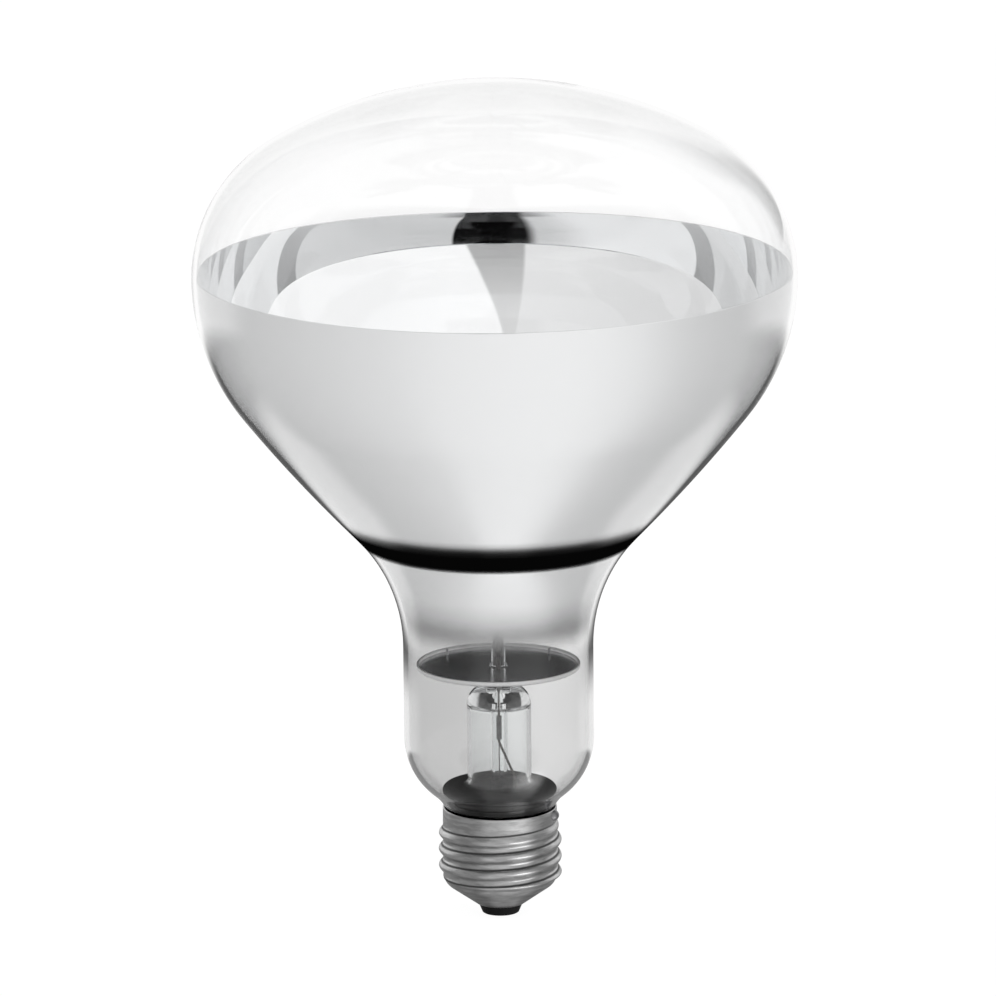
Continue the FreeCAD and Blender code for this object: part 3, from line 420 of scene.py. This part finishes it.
metalValues = {  # grain is in patches to a metre
    "tungsten": {"light": (0.34, 0.34, 0.35), "dark": (0.2, 0.2, 0.21), "rough": 0.4, "grain": 900},
    "nickel_wire": {"light": (0.16, 0.155, 0.15), "dark": (0.09, 0.088, 0.085), "rough": 0.3, "grain": 700},
    "hook_wire": {"light": (0.45, 0.45, 0.46), "dark": (0.3, 0.3, 0.31), "rough": 0.35, "grain": 900},
    "copper_wire": {"light": (0.1, 0.085, 0.075), "dark": (0.05, 0.045, 0.04), "rough": 0.42, "grain": 900},
    "sleeve_metal": {"light": (0.12, 0.12, 0.12), "dark": (0.07, 0.07, 0.07), "rough": 0.35, "grain": 700},
    "contact_brass": {"light": (0.7, 0.58, 0.34), "dark": (0.52, 0.42, 0.24), "rough": 0.35, "grain": 400},
    "solder": {"light": (0.4, 0.4, 0.41), "dark": (0.26, 0.26, 0.27), "rough": 0.38, "grain": 500,
               "bump": 0.4},
}


def makeMetal(name, light, dark, rough, grain, bump=0.1, spread=0.1):
    s = newMaterial(name)
    cloud = s.noise(grain, detail=5)
    fine = s.noise(grain * 6, detail=3)
    return s.finish(s.node("BsdfPrincipled", Base_Color=s.mottle(cloud, dark, light), Metallic=1.0,
                           Roughness=(cloud + fine) * (spread / 2) + (rough - spread / 2),
                           Normal=s.bump(fine, bump)))


for slot, values in metalValues.items():
    materials[slot] = makeMetal(slot, **values)


# Black glass of the cap's insulator and the capping cement

dullValues = {
    "black_glass": {"light": (0.006, 0.006, 0.006), "dark": (0.003, 0.003, 0.003), "rough": 0.25,
                    "grain": 300, "bump": 0.1, "shine": 0.2},
    "cement": {"light": (0.05, 0.045, 0.04), "dark": (0.02, 0.018, 0.016), "rough": 0.8, "grain": 500,
               "bump": 0.6, "shine": 0.5},
}


def makeDull(name, light, dark, rough, grain, bump, shine, spread=0.2):
    s = newMaterial(name)
    fine = s.noise(grain * 5, detail=3)
    return s.finish(s.node("BsdfPrincipled", Base_Color=s.mottle(s.noise(grain, detail=6), dark, light),
                           Roughness=fine * spread + (rough - spread / 2), Specular_IOR_Level=shine,
                           Normal=s.bump(fine, bump, depth=0.3)))


for slot, values in dullValues.items():
    materials[slot] = makeDull(slot, **values)


# Screw cap: a rolled shell with a painted shade line along the thread's groove

capValues = {  # millimetres and degrees
    "rim": 23.8,
    "across": 24.2,            # in the thread's groove
    "cornerRadius": 3.0,
    "cone": 35.5,              # lower end above the horizontal
    "mouthAcross": 10.2,
    "mouth": 2.6,              # height of the lower end
    "wall": 0.3,
    "lift": 0.475,             # half of the thread's depth
    "pitch": 3.629,
    "crest": 12.8,             # height of a crest on the +X side
    "threadFoot": (7.9, 9.3),  # heights over which the thread runs in and out
    "threadTop": (17.6, 21.4),
    "crease": 0.1,             # depth of the line along the groove
    "creaseAt": 0.29,          # its place above the crest, as a share of the pitch
    "creaseHalf": 0.05,
    "grain": 0.16,
    "coneRows": 8,
    "steps": 192,
    "light": (0.64, 0.64, 0.64),
    "dark": (0.46, 0.46, 0.46),
    # painted shade along the thread's groove, and how it is laid
    "grooveShade": (0.035, 0.035, 0.035),
    "grooveShadeHalf": 0.055,        # shares of the pitch
    "grooveShadeSoft": 0.035,
    "grooveShadeWander": 0.05,
    "wanderSize": 400,
    "grooveShadeBetween": (7.6, 20.9),
    "grooveShadeEnds": 0.5,
    "grooveShadeLeast": 0.6,         # cover of the painted shade, and what drawn marks add to it
    "grooveShadeMarks": 0.5,
    "grooveShadeRough": 0.25,
    "rough": (0.24, 0.4),
    "drawnSize": 260,          # marks drawn out round the cap
    "drawnStretch": (1, 1, 5),
    "fineSize": 1500,
    "fineStretch": (1, 1, 3),
    "bump": 0.22,
}


def makeCapMetal():
    s = newMaterial("capMetal")
    c = capValues
    x, y, z = s.axes()
    height = z / mm
    turn = y.maths("ARCTAN2", x) / (2 * math.pi)
    rise = ((height - c["crest"]) / c["pitch"] - turn).maths("FRACT")
    wander = (s.noise(c["wanderSize"], detail=4) - 0.5) * c["grooveShadeWander"]
    foot, top = c["creaseAt"] - c["grooveShadeHalf"], c["creaseAt"] + c["grooveShadeHalf"]
    # painted shade in a line along the thread's groove
    line = (rise + wander).band(foot, top, c["grooveShadeSoft"])
    line = line * height.band(*c["grooveShadeBetween"], c["grooveShadeEnds"])
    drawn = s.noise(c["drawnSize"], 5, c["drawnStretch"])
    fine = s.noise(c["fineSize"], 3, c["fineStretch"])
    metal = s.mottle(drawn, c["dark"], c["light"])
    colour = s.blend(line * (drawn * c["grooveShadeMarks"] + c["grooveShadeLeast"]), metal, c["grooveShade"])
    low, high = c["rough"]
    rough = (drawn * 0.5 + fine * 0.5) * (high - low) + low + line * c["grooveShadeRough"]
    return s.finish(s.node("BsdfPrincipled", Base_Color=colour, Metallic=1.0, Roughness=rough,
                           Normal=s.bump(drawn * 0.6 + fine * 0.4, c["bump"])))


def smoothStep(value, low, high):
    share = min(1.0, max(0.0, (value - low) / (high - low)))
    return share * share * (3 - 2 * share)


def threadLift(turn, height):  # how far the rolled thread stands out, at a share of a turn and a height
    c = capValues
    rise = (height - c["crest"]) / c["pitch"] - turn
    wave = c["lift"] * (1 + math.cos(2 * math.pi * rise))
    offCrease = abs((rise - c["creaseAt"] + 0.5) % 1.0 - 0.5)
    crease = c["crease"] * (1 - smoothStep(offCrease, 0.0, c["creaseHalf"]))
    window = smoothStep(height, *c["threadFoot"]) * (1 - smoothStep(height, *c["threadTop"]))
    return (wave - crease) * window


def makeScrewShell():
    c = capValues
    materials["cap_metal"] = makeCapMetal()
    half, mouth = c["across"] / 2, c["mouthAcross"] / 2
    turn = 90 - c["cone"]
    corner = c["mouth"] + (half - mouth) * math.tan(math.radians(c["cone"]))
    start = corner + c["cornerRadius"] * math.tan(math.radians(turn / 2))
    outline = [Vector((half, c["rim"]))]
    outline += rowPoints(outline[0], Vector((half, start)), math.ceil((c["rim"] - start) / c["grain"]))
    corners = arcPoints(Vector((half - c["cornerRadius"], start)), c["cornerRadius"], 0, -turn, c["grain"])
    outline += corners[1:]
    outline += rowPoints(corners[-1], Vector((mouth, c["mouth"])), c["coneRows"])
    shell = lathe("screwShell", outline, c["steps"])
    for vertex in shell.data.vertices:
        x, y, z = vertex.co
        lift = threadLift(math.atan2(y, x) / (2 * math.pi), z / mm) * mm
        reach = 1 + lift / math.hypot(x, y)
        vertex.co = (x * reach, y * reach, z)
    thicken(shell, c["wall"])
    dress(shell, "screw_shell", "cap_metal")


# Black glass insulator in the cap's mouth

insulatorValues = {  # millimetres
    "bore": 0.35,              # radius of the wire's hole
    "seat": 0.95,              # height of the recess for the contact
    "seatAcross": 7.32,
    "seatChamfer": (0.04, 0.1),
    "foot": 0.5,
    "footAcross": 7.5,
    "waist": 2.6,              # widest, at the cap's mouth
    "waistAcross": 9.5,
    "neck": 4.4,               # inside the cap
    "rim": 5.6,
    "rimAcross": 8.0,
    "rimWall": 0.9,
    "edge": 0.3,
    "sharpAbove": 30,          # degrees between faces that stay a sharp edge
    "steps": 96,
}


def makeInsulator():
    n = insulatorValues
    seat, foot = n["seatAcross"] / 2, n["footAcross"] / 2
    waist, rim = n["waistAcross"] / 2, n["rimAcross"] / 2
    inner = rim - n["rimWall"]
    wider, higher = n["seatChamfer"]
    outline = [
        (n["bore"], n["seat"]), (seat, n["seat"]), (seat, n["foot"] + higher), (seat + wider, n["foot"]),
        (foot, n["foot"]), (foot + n["edge"] / 2, n["foot"] + n["edge"] / 3), (waist, n["waist"]),
        (rim + n["edge"], n["neck"] - n["edge"]), (rim, n["neck"]), (rim, n["rim"]),
        (inner, n["rim"]), (inner, n["neck"]), (n["bore"], n["neck"]),
    ]
    insulator = lathe("capInsulator", outline + outline[:1], n["steps"])
    bpy.ops.object.shade_smooth_by_angle(angle=math.radians(n["sharpAbove"]))
    dress(insulator, "cap_insulator", "black_glass")


makeScrewShell()
makeInsulator()
print("screw cap made")

for subpart in frame["record"]["subparts"]:
    mesh = nodes[subpart["node"]].data
    mesh.materials.clear()
    mesh.materials.append(materials[subpart["material_slot"]])
print("finishes given:", len(materials))


# Stage: pale floor, studio round it, camera

studioValues = {  # degrees, and brightness where white is 1
    "outer": 0.3,              # what the cap and the outer faces of the glass see round the front
    "outerMiddle": 0.4,        # added to it in the middle
    "outerMiddleAt": (-30, 62),
    "outerMiddleSoft": 14,
    "left": 0.9,               # what the mirror sees on the left, and what is added nearer the front
    "leftNear": 0.07,
    "leftNearFrom": (-70, -12),
    "right": 1.21,             # what it sees on the right, and how much less towards the back
    "rightFall": 0.3,
    "rightFallFrom": (95, 142),
    "gapLeft": -12.0,          # a duller gap in front, between the two
    "gapRight": 12.0,
    "gapSoft": 1,
    "gapLean": 0.3,
    "gapLow": 0.5,             # its brightness at the floor and higher up
    "gapHigh": 0.85,
    "gapRise": (0, 50),
    "behind": 0.004,           # dark behind the lamp
    "behindLeft": (-149, -146),
    "behindRight": (144, 156),
    "ceiling": 0.08,           # dark overhead
    "ceilingFrom": (58, 64),
    "outerCeiling": (46, 54),
    "backdrop": 0.98,          # what an outer face of the glass reflects from behind the lamp
    "backdropFrom": (100, 120),
    "strip": 0.6,              # a darker upright strip in it, on the right
    "stripAcross": (148, 163),
    "stripSoft": 5,
    "stripTop": (18, 34),
}


def outerLight(azimuth):
    v = studioValues
    return azimuth.band(*v["outerMiddleAt"], v["outerMiddleSoft"]) * v["outerMiddle"] + v["outer"]


def azimuthOf(x, y):  # degrees round from the front, to the right
    return x.maths("ARCTAN2", -y) * math.degrees(1)


def towards(grey, share, other):  # grey where share is 0, other where it is 1
    return grey + share * (other - grey)


def rayKinds(s):
    names = ("Is Camera Ray", "Is Transmission Ray", "Glossy Depth", "Transmission Depth", "Ray Length")
    camera, through, mirrored, passed, length = s.node("LightPath", output=names)
    plain = mirrored.below(1)
    through = through * plain
    return {
        "seen": camera.maths("ADD", through, clamp=True),  # by the camera, or through clear glass
        "through": through,
        "offGlass": passed.below(3) * (1 - plain),         # reflected by an outer face, not by the mirror
        "length": length,
    }


floorValues = {  # metres, and brightness where white is 1
    "size": 6.0,
    "grey": 0.8,
    "glowShare": 0.85,         # share of the floor's white that doesn't darken in the shadow
    "glow": 1.12,
    "mirroredSide": 0.72,      # what mirrors and metal see in the floor, to the sides and behind
    "mirroredFront": 0.3,      # added where the light falls, in front and to the right
    "lightFrom": (-110, 20),   # degrees over which the light comes up and goes down again
    "lightTo": (25, 100),
    "nearShare": 0.9,          # brightness of the floor beside the cap against the studio above it
    "near": (0.105, 0.125),    # how far an outer face's reflection travels, to floor beside the cap
    "nearAxis": (0.006, 0.022),  # the floor beside the cap darkens towards the axis, a painted shadow under the lamp
    "nearAxisShare": 0.42,
    "pale": 0.9,               # floor that an outer face sees just behind, then darker, then pale again
    "dim": 0.1,
    "dimFrom": (0.18, 0.24),
    "dimTo": (0.36, 0.5),
    "throughLeft": 0.26,       # shade of the floor seen through the glass, towards the left
    "throughFrom": (-0.016, 0.02),
    "throughTo": (0.3, 0.5),
    "lamp": 2.1,               # lit patch in front on the right, which only the cap is near enough to see
    "lampAt": (20, 54),
    "lampSoft": 9,
    "lampTo": (0.045, 0.065),
    "lampInside": (0.018, 0.042),
}


def makeFloorWhite():
    s = newMaterial("floorWhite")
    v = floorValues
    x, y = s.axes()[:2]
    rays = rayKinds(s)
    azimuth = azimuthOf(x, y)
    radius = (x * x + y * y).maths("SQRT")
    outer = outerLight(azimuth)
    travelled = rays["length"]
    lamp = azimuth.band(*v["lampAt"], v["lampSoft"]) * v["lamp"] * travelled.fall(*v["lampTo"])
    near = outer * radius.ramp(*v["nearAxis"], v["nearAxisShare"], v["nearShare"])
    near = near + lamp * radius.ramp(*v["lampInside"])
    behind = travelled.ramp(*v["dimFrom"], v["pale"], v["dim"])
    behind = towards(behind, travelled.ramp(*v["dimTo"]), studioValues["backdrop"])
    far = towards(outer, azimuth.maths("ABSOLUTE").ramp(*studioValues["backdropFrom"]), behind)
    outside = towards(near, travelled.ramp(*v["near"]), far)
    light = azimuth.ramp(*v["lightFrom"]) * azimuth.fall(*v["lightTo"])
    reflected = towards(light * v["mirroredFront"] + v["mirroredSide"], rays["offGlass"], outside)
    mirrored = s.node("Emission", Color=(1, 1, 1), Strength=reflected)
    matte = s.node("BsdfDiffuse", Color=(v["grey"],) * 3)
    shade = rays["through"] * x.ramp(*v["throughFrom"], v["throughLeft"], 0.0) * y.fall(*v["throughTo"])
    glow = s.node("Emission", Color=(1, 1, 1), Strength=(1 - shade) * v["glow"])
    direct = s.node("MixShader", at0=v["glowShare"], at1=matte, at2=glow)
    return s.finish(s.node("MixShader", at0=rays["seen"], at1=mirrored, at2=direct))


def makeFloor():
    bpy.ops.object.select_all(action="DESELECT")
    bpy.ops.mesh.primitive_plane_add(size=floorValues["size"], location=(0, 0, 0))
    floor = bpy.context.object
    floor.name = "floor"
    floor.data.materials.append(makeFloorWhite())


def makeWorld():
    v = studioValues
    world = bpy.data.worlds.new("studio")
    bpy.context.scene.world = world
    s = Shader(world)
    rays = rayKinds(s)
    x, y, z = s.axes("Generated")
    elevation = z.maths("ARCSINE") * math.degrees(1)
    azimuth = azimuthOf(x, y)
    left = azimuth.ramp(*v["leftNearFrom"]) * v["leftNear"] + v["left"]
    right = azimuth.ramp(*v["rightFallFrom"], v["right"], v["right"] - v["rightFall"])
    leaning = azimuth + elevation * v["gapLean"]
    onRight = leaning.ramp(v["gapRight"] - v["gapSoft"], v["gapRight"] + v["gapSoft"])
    onLeft = azimuth.fall(v["gapLeft"] - v["gapSoft"], v["gapLeft"] + v["gapSoft"])
    gap = elevation.ramp(*v["gapRise"], v["gapLow"], v["gapHigh"])
    mirrored = towards(towards(gap, onLeft, left), onRight, right)
    mirrored = towards(mirrored, elevation.ramp(*v["ceilingFrom"]), v["ceiling"])
    dark = azimuth.fall(*v["behindLeft"]) + azimuth.ramp(*v["behindRight"])
    mirrored = towards(mirrored, dark, v["behind"])
    strip = azimuth.band(*v["stripAcross"], v["stripSoft"]) * elevation.fall(*v["stripTop"])
    backdrop = strip * (-v["strip"] * v["backdrop"]) + v["backdrop"]
    around = azimuth.maths("ABSOLUTE").ramp(*v["backdropFrom"])
    front = outerLight(azimuth) * elevation.fall(*v["outerCeiling"])
    reflected = towards(mirrored, rays["offGlass"], towards(front, around, backdrop))
    strength = towards(reflected, rays["seen"], 1.0)
    s.finish(s.node("Background", Color=(1, 1, 1), Strength=strength), "OutputWorld")


cameraValues = {
    "target": Vector((0, 0, 0.0908)),  # metres
    "distance": 2.0,
    "elevation": 13.56,                # degrees
    "roll": -0.56,
    "lens": 343.4,                     # millimetres
    "sensor": 36,
    "shift": (0.0012, 0.0003),
    "sight": 50,                       # metres
}


def makeCamera():
    v = cameraValues
    angle = math.radians(v["elevation"])
    away = Vector((0, -math.cos(angle), math.sin(angle))) * v["distance"]
    bpy.ops.object.camera_add(location=v["target"] + away)
    camera = bpy.context.object
    camera.name = "photoCamera"
    aim = (-away).to_track_quat("-Z", "Y").to_matrix()
    camera.rotation_euler = (aim @ Matrix.Rotation(math.radians(v["roll"]), 3, "Z")).to_euler()
    camera.data.lens = v["lens"]
    camera.data.sensor_width = v["sensor"]
    camera.data.shift_x, camera.data.shift_y = v["shift"]
    camera.data.clip_end = v["sight"]
    bpy.context.scene.camera = camera


bounces = {  # light passes many glass walls
    "max_bounces": 32,
    "glossy_bounces": 24,
    "transmission_bounces": 32,
    "transparent_max_bounces": 32,
}

makeFloor()
makeWorld()
makeCamera()
bpy.context.scene.view_settings.view_transform = "Standard"
for kind, most in bounces.items():
    setattr(bpy.context.scene.cycles, kind, most)
print("stage, world and camera made")
